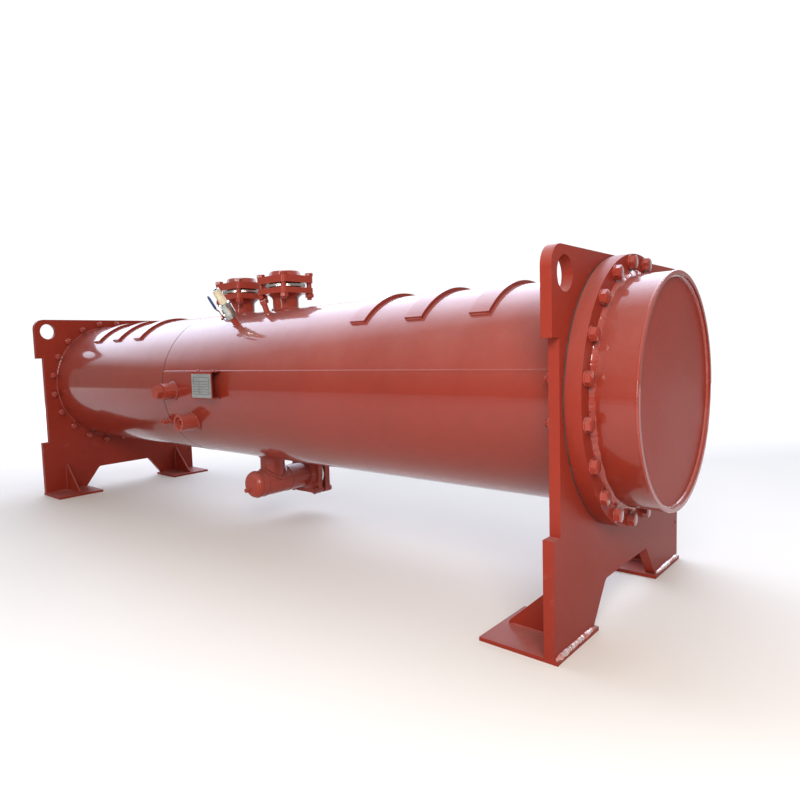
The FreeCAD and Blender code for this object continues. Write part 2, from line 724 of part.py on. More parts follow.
def make_lever(x, y, z, tilt):
    """The bent lever on the valve's stem, in line with the pipe, and the grip over its end."""
    top = "(lever_seat + lever_thick)"
    raised = "(lever_seat + lever_rise)"
    bend = f"{STEM_PLACE} + lever_run"
    grip_low = f"{bend} + lever_rise_run"
    bar_end = f"{grip_low} + grip_run - grip_closed_end - fit_gap"
    bar = new_body("valve_lever_bar")
    sketch = new_sketch(bar, "YZ_Plane")
    draw_outline(sketch, [("-lever_seat", f"{STEM_PLACE} - lever_tail"), ("-lever_seat", bend),
                          (f"-{raised}", grip_low), (f"-{raised}", bar_end),
                          (f"-({raised} + lever_thick)", bar_end),
                          (f"-({raised} + lever_thick)", f"{grip_low} - lever_thick / 4"),
                          (f"-{top}", f"{bend} - lever_thick / 4"),
                          (f"-{top}", f"{STEM_PLACE} - lever_tail")])
    pad(bar, sketch, "lever_wide")
    place(bar, x="-lever_wide / 2")
    stem = cylinder("valve_stem", "stem_radius", f"{top} - stem_boss_reach + stem_engaged",
                    y="stem_engaged - stem_boss_reach", z=STEM_PLACE, tilt="90")
    nut = hexagon("valve_stem_nut", "stem_nut_flats", "stem_nut_height", y=f"-{top}", z=STEM_PLACE,
                  tilt="90")
    place(turned_on_pipe("valve_lever", joined("valve_lever_solid", [bar, stem, nut])), x, y, z, tilt)
    middle = f"-({raised} + lever_thick / 2)"
    wide = "(lever_wide + 2 * fit_gap + 2 * grip_wall)"
    thick = "(lever_thick + 2 * fit_gap + 2 * grip_wall)"
    sleeve = box("grip_outside", wide, thick, "grip_run", f"-{wide} / 2", f"{middle} - {thick} / 2",
                 grip_low)
    slot = box("grip_slot", "lever_wide + 2 * fit_gap", "lever_thick + 2 * fit_gap",
               "grip_run - grip_closed_end", "-lever_wide / 2 - fit_gap",
               f"{middle} - lever_thick / 2 - fit_gap", grip_low)
    place(turned_on_pipe("lever_grip", cut_from("grip_sleeve", sleeve, slot)), x, y, z, tilt)


def check_document():
    doc.recompute()
    for item in doc.Objects:
        if "Invalid" in item.State or "Error" in item.State:
            raise RuntimeError(f"{item.Label} failed: {item.State}")


def export(nodes):
    os.makedirs("parts", exist_ok=True)
    for node in nodes:
        found = doc.getObjectsByLabel(node)
        if len(found) != 1:
            raise RuntimeError(f"{len(found)} objects are called {node}")
        shape = found[0].Shape
        if shape.isNull() or not shape.isValid():
            raise RuntimeError(f"{node} has no valid shape")
        shape.exportStep(f"parts/{node}.step")


make_shell()
for end in ("plain", "water"):
    make_tubesheet(end)
    make_stand(end)
    make_water_box(end)
make_water_nozzles()
make_strips("plain", "strip_near_place", "strip_near_pitch")
make_strips("water", "strip_far_place", "strip_far_pitch")
make_top_nozzle("top_nozzle_plain_side", "nozzle_near_place")
make_top_nozzle("top_nozzle_water_side", "nozzle_far_place")
make_outlet()
make_side_couplings()
make_small_stubs()
make_nameplate()
make_valve()
check_document()
export([
    "shell_short_course", "shell_long_course",
    *[f"{piece}_{end}_end" for end in ("plain", "water") for piece in (
        "tubesheet", "foot_plates", "gussets", "gasket", "ring_flange", "water_box", "end_cover",
        "top_strips")],
    "water_pipe_upper", "water_pipe_lower", "water_flange_upper", "water_flange_lower",
    *[f"{nozzle}_{piece}" for nozzle in ("top_nozzle_plain_side", "top_nozzle_water_side")
      for piece in ("neck", "flange", "seal_ring", "blank_flange")],
    "outlet_drop_pipe", "outlet_barrel", "outlet_drain_plug", "outlet_flange", "outlet_seal_ring",
    "outlet_blank_flange",
    "side_couplings", "coupling_plugs", "side_stub", "vent_stub", "vent_cap",
    "nameplate_bracket", "nameplate",
    "valve_stub", "valve_body", "valve_outlet_pipe", "pipe_wrap", "valve_lever", "lever_grip",
])
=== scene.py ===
import json
import math
import random

import bpy
from mathutils import Matrix, Vector


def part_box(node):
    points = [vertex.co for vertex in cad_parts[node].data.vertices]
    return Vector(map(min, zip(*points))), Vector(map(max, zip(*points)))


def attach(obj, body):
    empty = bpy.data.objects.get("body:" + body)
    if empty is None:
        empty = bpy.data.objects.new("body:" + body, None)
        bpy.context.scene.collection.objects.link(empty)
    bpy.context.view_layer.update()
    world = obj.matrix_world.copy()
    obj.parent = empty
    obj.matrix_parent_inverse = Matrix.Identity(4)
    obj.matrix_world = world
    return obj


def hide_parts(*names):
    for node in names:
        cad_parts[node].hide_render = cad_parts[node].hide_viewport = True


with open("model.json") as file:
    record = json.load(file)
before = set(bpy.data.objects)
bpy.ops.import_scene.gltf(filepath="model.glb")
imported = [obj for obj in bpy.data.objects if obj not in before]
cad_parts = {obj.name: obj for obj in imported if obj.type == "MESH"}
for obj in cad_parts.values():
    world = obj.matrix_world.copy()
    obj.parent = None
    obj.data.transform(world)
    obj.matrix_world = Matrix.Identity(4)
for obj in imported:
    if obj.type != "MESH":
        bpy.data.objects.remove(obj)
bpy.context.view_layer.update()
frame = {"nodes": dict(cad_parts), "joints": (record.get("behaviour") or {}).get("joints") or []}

# The looks of a shell and tube heat exchanger: welds, bolts, seams, paint, floor, light and camera.
# Metres, +Z up, +X the end with the plain cover, -Y the valve side.

BODY = "exchanger"
LEVER_BODY = "valve_handle"
ENDS = ("plain", "water")
SIDES = (-1, 1)

# Bolts of the ends and of the square joints.
BOLT_RADIUS = 0.010
BOLT_FLATS = 0.030
BOLT_TWIST = 0.14
HEAD_HEIGHT = 0.0125
NUT_HEIGHT = 0.016
STUD_END = 0.009
THREAD_PITCH = 0.0025
THREAD_DEEP = 0.0009
WASHER_RADIUS = 0.0185
WASHER_THICK = 0.003
WASHER_ROUND = 0.0006
END_BOLT_COUNT = 20
END_BOLT_OUTSIDE = 0.025
SQUARE_BOLT_PLACE = 0.067

# Welds: the length of a ripple, how far a bead stands off its corner, and common widths.
RIPPLE = 0.0045
WELD_OFF = 0.001
SMALL_WELD_OFF = 0.0005
LEAN = math.radians(45)
NOZZLE_WELD = 0.0060

rng = random.Random(7)


# ---------------------------------------------------------------- materials

def new_material(name):
    """A material with one principled shader, and its node tree."""
    material = bpy.data.materials.new(name)
    material.use_nodes = True
    tree = material.node_tree
    tree.nodes.clear()
    output = tree.nodes.new("ShaderNodeOutputMaterial")
    shader = tree.nodes.new("ShaderNodeBsdfPrincipled")
    tree.links.new(shader.outputs["BSDF"], output.inputs["Surface"])
    return material, tree, shader


class Nodes:
    """Short calls for the nodes that the finishes share."""

    def __init__(self, tree, place="Object"):
        self.tree = tree
        self.place = tree.nodes.new("ShaderNodeTexCoord").outputs[place]

    def link(self, source, target):
        self.tree.links.new(source, target)

    def noise(self, scale, detail, rough, stretch=None):
        node = self.tree.nodes.new("ShaderNodeTexNoise")
        node.inputs["Scale"].default_value = scale
        node.inputs["Detail"].default_value = detail
        node.inputs["Roughness"].default_value = rough
        vector = self.place
        if stretch:
            mapping = self.tree.nodes.new("ShaderNodeMapping")
            mapping.inputs["Scale"].default_value = stretch
            self.link(self.place, mapping.inputs["Vector"])
            vector = mapping.outputs["Vector"]
        self.link(vector, node.inputs["Vector"])
        return node.outputs["Fac"]

    def ramp(self, source, *stops):
        node = self.tree.nodes.new("ShaderNodeValToRGB")
        points = node.color_ramp.elements
        while len(points) < len(stops):
            points.new(0.5)
        for point, (position, colour) in zip(points, stops):
            point.position = position
            if not isinstance(colour, tuple):
                colour = (colour, colour, colour)
            point.color = (*colour, 1.0)
        self.link(source, node.inputs["Fac"])
        return node.outputs["Color"]

    def mix(self, factor, low, high, mode="MIX"):
        node = self.tree.nodes.new("ShaderNodeMix")
        node.data_type = "RGBA"
        node.blend_type = mode
        for socket, given in ((node.inputs[0], factor), (node.inputs[6], low), (node.inputs[7], high)):
            if isinstance(given, tuple):
                socket.default_value = (*given, 1.0)
            elif isinstance(given, (int, float)):
                socket.default_value = given
            else:
                self.link(given, socket)
        return node.outputs[2]

    def maths(self, operation, first, second=0.5):
        node = self.tree.nodes.new("ShaderNodeMath")
        node.operation = operation
        for socket, given in ((node.inputs[0], first), (node.inputs[1], second)):
            if isinstance(given, (int, float)):
                socket.default_value = given
            else:
                self.link(given, socket)
        return node.outputs[0]

    def ranged(self, source, low, high):
        node = self.tree.nodes.new("ShaderNodeMapRange")
        node.inputs["To Min"].default_value = low
        node.inputs["To Max"].default_value = high
        self.link(source, node.inputs["Value"])
        return node.outputs["Result"]

    def upward(self):
        geometry = self.tree.nodes.new("ShaderNodeNewGeometry")
        split = self.tree.nodes.new("ShaderNodeSeparateXYZ")
        self.link(geometry.outputs["Normal"], split.inputs["Vector"])
        return split.outputs["Z"]

    def soft_edges(self, radius):
        node = self.tree.nodes.new("ShaderNodeBevel")
        node.samples = 4
        node.inputs["Radius"].default_value = radius
        return node.outputs["Normal"]

    def bump(self, *layers, edge=0.0):
        normal = self.soft_edges(edge) if edge else None
        for height, depth in layers:
            node = self.tree.nodes.new("ShaderNodeBump")
            node.inputs["Strength"].default_value = 1.0
            node.inputs["Distance"].default_value = depth
            self.link(height, node.inputs["Height"])
            if normal:
                self.link(normal, node.inputs["Normal"])
            normal = node.outputs["Normal"]
        return normal


def paint(name, deep, mid, light, gloss, peel, wear=0.0, lumps=0.0, edge=0.0, silver=0.0, coat=0.9,
          coat_rough=0.09):
    """Sprayed enamel: drifting tone, runs, orange peel, a pale film on upward faces that is partly dust and
    partly painted light from above, and worn specks.
    """
    material, tree, shader = new_material(name)
    nodes = Nodes(tree)
    drift = nodes.ramp(nodes.noise(1.3, 3.0, 0.5), (0.25, deep), (0.52, mid), (0.80, light))
    mottle = nodes.ramp(nodes.noise(38.0, 3.0, 0.6), (0.30, 0.96), (0.70, 1.03))
    colour = nodes.mix(1.0, drift, mottle, "MULTIPLY")
    runs = nodes.ramp(nodes.noise(9.0, 2.0, 0.5, (1.0, 1.0, 0.12)), (0.36, 0.96), (0.66, 1.03))
    colour = nodes.mix(0.6, colour, runs, "MULTIPLY")
    # Pale film on upward faces: partly dust, partly painted light that makes the tops paler where light
    # falls from above.
    dust_and_top_light = nodes.ranged(nodes.noise(5.0, 5.0, 0.65), 0.0, 1.0)
    up = nodes.maths("MAXIMUM", nodes.upward(), 0.0)
    dust_and_top_light = nodes.maths("MULTIPLY", nodes.maths("MULTIPLY", up, dust_and_top_light), 0.34)
    colour = nodes.mix(dust_and_top_light, colour, (0.52, 0.36, 0.33))
    specks = nodes.ramp(nodes.noise(120.0, 6.0, 0.7), (0.70, 0.0), (0.74, 1.0))
    colour = nodes.mix(nodes.maths("MULTIPLY", specks, 0.35 + wear), colour, (0.10, 0.045, 0.035))
    if wear:
        rubbed = nodes.ramp(nodes.noise(26.0, 8.0, 0.7), (0.62 - wear * 0.1, 0.0), (0.66, 1.0))
        colour = nodes.mix(nodes.maths("MULTIPLY", rubbed, wear), colour, (0.42, 0.30, 0.27))
    nodes.link(colour, shader.inputs["Base Color"])
    rough = nodes.ranged(nodes.noise(4.0, 4.0, 0.55), gloss - 0.04, gloss + 0.06)
    nodes.link(nodes.maths("ADD", rough, nodes.maths("MULTIPLY", dust_and_top_light, 0.4)), shader.inputs["Roughness"])
    layers = [(nodes.noise(3.5, 2.0, 0.4), 0.0022 * peel), (nodes.noise(260.0, 2.0, 0.5), 0.00009 * peel)]
    if lumps:
        layers.append((nodes.noise(95.0, 4.0, 0.6), lumps))
    nodes.link(nodes.bump(*layers, edge=edge), shader.inputs["Normal"])
    if silver:
        bare = nodes.ramp(nodes.noise(34.0, 4.0, 0.6), (0.42, 0.0), (0.56, 1.0))
        nodes.link(nodes.maths("MULTIPLY", bare, silver), shader.inputs["Metallic"])
        nodes.link(nodes.mix(nodes.maths("MULTIPLY", bare, silver), colour, (0.86, 0.76, 0.74)),
                   shader.inputs["Base Color"])
    shader.inputs["Specular IOR Level"].default_value = 0.08
    shader.inputs["Coat Weight"].default_value = coat
    shader.inputs["Coat Roughness"].default_value = coat_rough
    shader.inputs["Coat IOR"].default_value = 1.5
    return material


def metal(name, dark, bright, low, high, grain, stain=None, stretch=None):
    """Bare or plated metal with fine machining marks and a stain where wanted."""
    material, tree, shader = new_material(name)
    nodes = Nodes(tree)
    colour = nodes.ramp(nodes.noise(30.0, 5.0, 0.6, stretch), (0.30, dark), (0.70, bright))
    if stain:
        mask = nodes.ramp(nodes.noise(45.0, 6.0, 0.65), (0.48, 0.0), (0.62, 1.0))
        colour = nodes.mix(nodes.maths("MULTIPLY", mask, 0.7), colour, stain)
    nodes.link(colour, shader.inputs["Base Color"])
    nodes.link(nodes.ranged(nodes.noise(60.0, 4.0, 0.6, stretch), low, high), shader.inputs["Roughness"])
    nodes.link(nodes.bump((nodes.noise(400.0, 3.0, 0.6, stretch), grain)), shader.inputs["Normal"])
    shader.inputs["Metallic"].default_value = 1.0
    return material


def soft_cover(name, deep, light, rough, grain):
    """Vinyl, rubber sheet or tape: soft mottle, a dull skin and fine grain."""
    material, tree, shader = new_material(name)
    nodes = Nodes(tree)
    colour = nodes.ramp(nodes.noise(24.0, 6.0, 0.65), (0.30, deep), (0.70, light))
    dirt = nodes.ramp(nodes.noise(70.0, 5.0, 0.7), (0.58, 0.0), (0.70, 1.0))
    colour = nodes.mix(nodes.maths("MULTIPLY", dirt, 0.35), colour, (0.12, 0.07, 0.05))
    nodes.link(colour, shader.inputs["Base Color"])
    nodes.link(nodes.ranged(nodes.noise(50.0, 3.0, 0.5), rough - 0.08, rough + 0.12),
               shader.inputs["Roughness"])
    nodes.link(nodes.bump((nodes.noise(320.0, 4.0, 0.6), grain)), shader.inputs["Normal"])
    return material


SHELL = paint("paint_shell", (0.205, 0.0210, 0.0110), (0.235, 0.0250, 0.0130), (0.260, 0.0290, 0.0155),
              0.34, 1.0)
PLATE = paint("paint_plate", (0.215, 0.0225, 0.0120), (0.245, 0.0265, 0.0145), (0.275, 0.0320, 0.0175),
              0.42, 0.7, wear=0.05, edge=0.0016, coat=0.12, coat_rough=0.28)
CAST = paint("paint_fitting", (0.260, 0.0330, 0.0190), (0.310, 0.0420, 0.0250), (0.360, 0.0580, 0.0360),
             0.32, 0.8, wear=0.08, lumps=0.0003, edge=0.0012, coat=0.5)
BOLT = paint("paint_bolt", (0.230, 0.0260, 0.0150), (0.290, 0.0360, 0.0220), (0.350, 0.0560, 0.0360),
             0.24, 0.5, wear=0.15, lumps=0.0003, coat=0.8)
WELD = paint("paint_weld", (0.200, 0.0210, 0.0120), (0.250, 0.0280, 0.0170), (0.310, 0.0450, 0.0300),
             0.20, 0.5, wear=0.10, lumps=0.0010, coat=0.8)
SCAR = paint("paint_scarred_weld", (0.220, 0.0240, 0.0140), (0.280, 0.0350, 0.0220), (0.350, 0.0600, 0.0420),
             0.14, 0.5, wear=0.16, lumps=0.0016, coat=1.0)
BARE = paint("paint_bare_weld", (0.300, 0.0500, 0.0360), (0.480, 0.1500, 0.1150), (0.700, 0.4200, 0.3700),
             0.18, 0.5, wear=0.45, lumps=0.0018, silver=0.70, coat=1.0)
SEAM_DARK = paint("paint_seam", (0.090, 0.0100, 0.0060), (0.120, 0.0130, 0.0080), (0.150, 0.0170, 0.0110),
                  0.28, 0.5, lumps=0.0004)
RING = metal("bright_seal_ring", (0.42, 0.41, 0.39), (0.80, 0.79, 0.76), 0.16, 0.34, 0.0002,
             stretch=(1.0, 1.0, 14.0))
GASKET = soft_cover("gasket_sheet", (0.018, 0.017, 0.016), (0.055, 0.050, 0.045), 0.75, 0.0003)
NAMEPLATE = metal("nameplate_face", (0.36, 0.38, 0.37), (0.58, 0.60, 0.58), 0.30, 0.46, 0.00012,
                  stretch=(1.0, 1.0, 10.0))
VALVE = metal("valve_plating", (0.30, 0.33, 0.30), (0.84, 0.86, 0.82), 0.14, 0.32, 0.0003,
              stain=(0.34, 0.36, 0.30))
LEVER = paint("paint_lever", (0.13, 0.022, 0.018), (0.20, 0.035, 0.028), (0.32, 0.10, 0.08), 0.30, 0.5,
              wear=0.35, lumps=0.0003)
RULES = metal("nameplate_ruling", (0.060, 0.060, 0.058), (0.130, 0.130, 0.125), 0.40, 0.60, 0.00005)
VINYL = soft_cover("blue_vinyl", (0.010, 0.030, 0.130), (0.025, 0.060, 0.240), 0.36, 0.00015)
TAPE = soft_cover("cream_tape", (0.46, 0.36, 0.19), (0.80, 0.72, 0.54), 0.55, 0.0005)


# ---------------------------------------------------------------- mesh making

class Shape:
    """Vertices and faces gathered for one piece, which rides a body and has a slot."""

    def __init__(self):
        self.verts = []
        self.faces = []

    def add(self, verts, faces, place=None):
        start = len(self.verts)
        for vert in verts:
            point = Vector(vert)
            self.verts.append(place @ point if place else point)
        self.faces.extend([[start + index for index in face] for face in faces])

    def build(self, name, material, body=BODY, sharp=34.0):
        mesh = bpy.data.meshes.new(name)
        mesh.from_pydata([tuple(vert) for vert in self.verts], [], self.faces)
        mesh.polygons.foreach_set("use_smooth", [True] * len(mesh.polygons))
        mesh.set_sharp_from_angle(angle=math.radians(sharp))
        mesh.materials.append(material)
        piece = bpy.data.objects.new(name, mesh)
        bpy.context.scene.collection.objects.link(piece)
        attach(piece, body)
        return piece


def ring_faces(rows, around, closed_rows=False):
    """Quads between rows of points, joined last to first where closed."""
    faces = []
    for row in range(rows if closed_rows else rows - 1):
        low = row * around
        high = ((row + 1) % rows) * around
        for step in range(around):
            following = (step + 1) % around
            faces.append([low + step, low + following, high + following, high + step])
    return faces


def turned(profile, around=24):
    """A solid turned about local Z from (radius, height) pairs, flat at both ends."""
    verts = []
    for radius, height in profile:
        for step in range(around):
            angle = 2 * math.pi * step / around
            verts.append((radius * math.cos(angle), radius * math.sin(angle), height))
    faces = ring_faces(len(profile), around)
    last = (len(profile) - 1) * around
    faces.append(list(range(around - 1, -1, -1)))
    faces.append([last + step for step in range(around)])
    return verts, faces


def hexagon(flats, height, double=False, around=36):
    """A hexagon head or nut with its corners turned off to a chamfer."""
    half = flats / 2
    slope = math.tan(math.radians(30))
    rows = []
    outline = []
    for step in range(around):
        angle = 2 * math.pi * step / around
        within = (math.degrees(angle) + 30) % 60 - 30
        outline.append((angle, half / math.cos(math.radians(within))))
    face_radius = half * 0.95

    def row(level, radius=None, drop=0.0):
        made = []
        for angle, corner in outline:
            reach = radius or corner
            down = drop * (corner - face_radius) * slope
            made.append((reach * math.cos(angle), reach * math.sin(angle), level - down))
        return made

    rows.append(row(0.0, face_radius) if double else row(0.0))
    if double:
        rows.append(row(0.0, None, -1.0))
    rows.append(row(height, None, 1.0))
    rows.append(row(height, face_radius))
    verts = [vert for made in rows for vert in made]
    faces = ring_faces(len(rows), around)
    last = (len(rows) - 1) * around
    faces.append(list(range(around - 1, -1, -1)))
    faces.append([last + step for step in range(around)])
    return verts, faces


def facing(point, direction, side):
    """A placement whose local Z runs along a direction, with local X towards a side."""
    z = Vector(direction).normalized()
    x = Vector(side)
    x = (x - z * x.dot(z)).normalized()
    y = z.cross(x)
    turn = Matrix((x, y, z)).transposed().to_4x4()
    return Matrix.Translation(Vector(point)) @ turn


def add_bolt(shape, head_point, nut_point, side, washer=True):
    """A hexagon bolt from its head's seat to its nut's seat, with the thread's end past the nut."""
    head_point = Vector(head_point)
    nut_point = Vector(nut_point)
    out = (head_point - nut_point).normalized()
    head = facing(head_point, out, side) @ Matrix.Rotation(rng.uniform(-BOLT_TWIST, BOLT_TWIST), 4, "Z")
    low = 0.0
    if washer:
        shape.add(*turned([(WASHER_RADIUS - WASHER_ROUND, 0.0), (WASHER_RADIUS, 0.0005),
                           (WASHER_RADIUS, WASHER_THICK - 0.0005),
                           (WASHER_RADIUS - WASHER_ROUND, WASHER_THICK)]), head)
        low = WASHER_THICK
    shape.add(*hexagon(BOLT_FLATS, HEAD_HEIGHT), head @ Matrix.Translation((0, 0, low)))
    length = (head_point - nut_point).length
    nut = facing(nut_point, -out, side) @ Matrix.Rotation(rng.uniform(-BOLT_TWIST, BOLT_TWIST), 4, "Z")
    shape.add(*hexagon(BOLT_FLATS, NUT_HEIGHT, double=True), nut)
    end = NUT_HEIGHT + STUD_END
    thread = [(BOLT_RADIUS, -length - low)]
    level = NUT_HEIGHT - 0.002
    while level < end - 0.003:
        thread += [(BOLT_RADIUS, level), (BOLT_RADIUS - THREAD_DEEP, level + THREAD_PITCH / 2)]
        level += THREAD_PITCH
    thread += [(BOLT_RADIUS - 0.0005, end - 0.002), (BOLT_RADIUS - 0.0022, end)]
    shape.add(*turned(thread, 20), nut)


def bead(shape, points, outs, width, height=None, closed=False, wild=0.12, sides=8):
    """A weld bead: a rippled rope along points, pressed flat along its out directions."""
    height = height or width
    count = len(points)
    verts = []
    travelled = 0.0
    swell = 1.0
    for index, point in enumerate(points):
        before = points[index - 1] if closed or index else points[index]
        after = points[(index + 1) % count] if closed or index < count - 1 else points[index]
        ahead = (after - before).normalized()
        out = outs[index]
        out = (out - ahead * out.dot(ahead)).normalized()
        side = ahead.cross(out)
        if index:
            travelled += (point - points[index - 1]).length
        swell += rng.uniform(-wild, wild) * 0.5
        swell += (1.0 - swell) * 0.35
        size = swell * (1.0 + 0.07 * math.sin(2 * math.pi * travelled / (RIPPLE * 2.4)))
        if not closed:
            taper = min(1.0, 0.55 + 0.15 * min(index, count - 1 - index))
            size *= taper
        for step in range(sides):
            angle = 2 * math.pi * step / sides
            verts.append(point + out * (height * size * math.cos(angle))
                         + side * (width * size * math.sin(angle)))
    faces = ring_faces(count, sides, closed)
    if not closed:
        last = (count - 1) * sides
        faces.append(list(range(sides - 1, -1, -1)))
        faces.append([last + step for step in range(sides)])
    shape.add(verts, faces)


def circle_path(centre, axis, radius, out_tilt=0.0, step=RIPPLE):
    """Points round a circle, with the way out leaning from the radius towards the axis."""
    centre = Vector(centre)
    axis = Vector(axis).normalized()
    first = axis.orthogonal().normalized()
    second = axis.cross(first)
    count = max(24, int(2 * math.pi * radius / step))
    points = []
    outs = []
    for index in range(count):
        angle = 2 * math.pi * index / count
        away = first * math.cos(angle) + second * math.sin(angle)
        points.append(centre + away * radius)
        outs.append(away * math.cos(out_tilt) + axis * math.sin(out_tilt))
    return points, outs


def line_path(start, end, out, step=RIPPLE):
    """Points along a straight line, with one way out."""
    start = Vector(start)
    end = Vector(end)
    count = max(4, int((end - start).length / step))
    points = [start.lerp(end, index / count) for index in range(count + 1)]
    return points, [Vector(out)] * len(points)


def seat_path(base, direction, radius, centre, shell, step=RIPPLE):
    """Where a round pipe, running along a direction across X, meets a cylinder along X."""
    direction = Vector(direction).normalized()
    across = direction.cross(Vector((1, 0, 0)))
    count = max(20, int(2 * math.pi * radius / step))
    points = []
    outs = []
    for index in range(count):
        angle = 2 * math.pi * index / count
        away = Vector((math.cos(angle), 0, 0)) + across * math.sin(angle)
        start = Vector(base) + away * radius
        offset = Vector((0, start.y - centre.y, start.z - centre.z))
        along = offset.dot(direction)
        reach = -along + math.sqrt(along * along - offset.length_squared + shell * shell)
        point = start + direction * reach
        points.append(point)
        normal = Vector((0, point.y - centre.y, point.z - centre.z)).normalized()
        outs.append((normal + away).normalized())
    return points, outs


# ---------------------------------------------------------------- places read from the frame

shell_low, shell_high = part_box("shell_long_course")
SHELL_RADIUS = (shell_high.z - shell_low.z) / 2
CENTRE = (shell_low + shell_high) / 2
SEAM_X = shell_low.x
BOLT_CIRCLE = SHELL_RADIUS + END_BOLT_OUTSIDE


def middle(node):
    """The middle of a node's box."""
    low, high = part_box(node)
    return (low + high) / 2


def at_axis(x):
    """A point on the shell's axis."""
    return Vector((x, CENTRE.y, CENTRE.z))


def end_faces(end):
    """The sign of an end and the x of its plate's inner face, ring's outer face and drum's rim."""
    sign = 1 if end == "plain" else -1
    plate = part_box(f"tubesheet_{end}_end")
    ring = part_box(f"ring_flange_{end}_end")
    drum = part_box(f"water_box_{end}_end")
    outer = 1 if sign > 0 else 0
    return sign, plate[1 - outer].x, ring[outer].x, drum[outer].x


# ---------------------------------------------------------------- the two ends

RIM_BEAD_BACK = 0.004
RIM_BEAD_SUNK = 0.0002
LEG_WIDE = 0.217
GUSSET_HALF = 0.005

for end in ENDS:
    sign, plate_x, ring_x, rim_x = end_faces(end)
    drum_low, drum_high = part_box(f"water_box_{end}_end")
    drum_radius = (drum_high.z - drum_low.z) / 2
    bolts = Shape()
    for number in range(END_BOLT_COUNT):
        angle = 2 * math.pi * (number + 0.5) / END_BOLT_COUNT
        away = Vector((0, math.sin(angle), math.cos(angle)))
        spot = at_axis(0) + away * BOLT_CIRCLE
        add_bolt(bolts, (ring_x, spot.y, spot.z), (plate_x, spot.y, spot.z), away)
    bolts.build(f"end_bolts_{end}_end", BOLT)

    # The drum to its ring, the cover in the drum with a thin bead at the rim, the shell to the plate.
    welds = Shape()
    drum_off = 0.0015
    bead(welds, *circle_path(at_axis(ring_x + sign * drum_off), (sign, 0, 0), drum_radius + drum_off,
                             LEAN), 0.0105, 0.0075, closed=True, wild=0.38)
    welds.build(f"drum_weld_{end}_end", SCAR)
    welds = Shape()
    cover_low, cover_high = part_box(f"end_cover_{end}_end")
    cover_x = cover_high.x if sign > 0 else cover_low.x
    cover_radius = (cover_high.z - cover_low.z) / 2
    bead(welds, *circle_path(at_axis(cover_x + sign * WELD_OFF), (sign, 0, 0), cover_radius - WELD_OFF,
                             math.radians(135)), 0.0050, 0.0042, closed=True, wild=0.2)
    bead(welds, *circle_path(at_axis(rim_x - sign * RIM_BEAD_BACK), (sign, 0, 0),
                             drum_radius - RIM_BEAD_SUNK), 0.0030, 0.0013, closed=True, wild=0.45)
    welds.build(f"cover_weld_{end}_end", SCAR)
    welds = Shape()
    bead(welds, *circle_path(at_axis(plate_x - sign * WELD_OFF), (-sign, 0, 0), SHELL_RADIUS + WELD_OFF,
                             LEAN), 0.0060, 0.0060, closed=True)
    welds.build(f"shell_weld_{end}_end", WELD)

    # The legs to the foot plates outside and inside, and the gussets to both.
    welds = Shape()
    inner_welds = Shape()
    foot_low, foot_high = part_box(f"foot_plates_{end}_end")
    gusset_low, gusset_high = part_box(f"gussets_{end}_end")
    sheet_low, sheet_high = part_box(f"tubesheet_{end}_end")
    outer_x = sheet_high.x if sign > 0 else sheet_low.x
    top = foot_high.z
    for side in SIDES:
        edge = foot_low.y if side < 0 else foot_high.y
        inside = edge - side * LEG_WIDE
        bead(welds, *line_path((outer_x, edge - side * 0.004, top), (outer_x, inside + side * 0.006, top),
                               (sign, 0, 1)), 0.0072, 0.0068, wild=0.45)
        bead(inner_welds, *line_path((plate_x, edge - side * 0.003, top), (plate_x, inside, top),
                                     (-sign, 0, 1)), 0.0050, wild=0.2)
        gusset_y = (gusset_low.y if side < 0 else gusset_high.y) - side * GUSSET_HALF
        far_x = gusset_low.x if sign > 0 else gusset_high.x
        for face in SIDES:
            y = gusset_y + face * GUSSET_HALF
            bead(inner_welds, *line_path((plate_x, y, top + 0.004), (plate_x, y, gusset_high.z - 0.002),
                                         (-sign, face, 0)), 0.0042)
            bead(inner_welds, *line_path((plate_x - sign * 0.004, y, top), (far_x + sign * 0.004, y, top),
                                         (0, face, 1)), 0.0042)
    welds.build(f"foot_weld_{end}_end", BARE)
    inner_welds.build(f"gusset_weld_{end}_end", WELD)

# ---------------------------------------------------------------- seams on the shell

SEAM_RISE = math.radians(13)
SEAM_STEP = 0.008
SEAM_WIDE = 0.0042
SEAM_HIGH = 0.0013
SEAM_END = 0.006
SEAM_START = 0.004

seams = Shape()
bead(seams, *circle_path(at_axis(SEAM_X), (1, 0, 0), SHELL_RADIUS, 0.0, SEAM_STEP), 0.0045, 0.0009,
     closed=True, wild=0.05)
seams.build("girth_seam", SEAM_DARK)
seams = Shape()
seam_out = Vector((0, -math.cos(SEAM_RISE), math.sin(SEAM_RISE)))
seam_spot = at_axis(0) + seam_out * SHELL_RADIUS
bead(seams, *line_path((SEAM_X + SEAM_START, seam_spot.y, seam_spot.z),
                       (shell_high.x - SEAM_END, seam_spot.y, seam_spot.z), seam_out, SEAM_STEP),
     SEAM_WIDE, SEAM_HIGH, wild=0.08)
back_out = Vector((0, math.cos(SEAM_RISE), math.sin(SEAM_RISE)))
back_spot = at_axis(0) + back_out * SHELL_RADIUS
short_low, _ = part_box("shell_short_course")
bead(seams, *line_path((short_low.x + SEAM_END, back_spot.y, back_spot.z),
                       (SEAM_X - SEAM_START, back_spot.y, back_spot.z), back_out, SEAM_STEP),
     SEAM_WIDE, SEAM_HIGH, wild=0.08)
seams.build("long_seams", SHELL)

# ---------------------------------------------------------------- strips over the top

STRIP_PITCH = {"plain": 0.216, "water": 0.202}
STRIP_HALF = 0.030
STRIP_SPREAD = math.radians(45)
STRIP_WELD_OFF = 0.0012

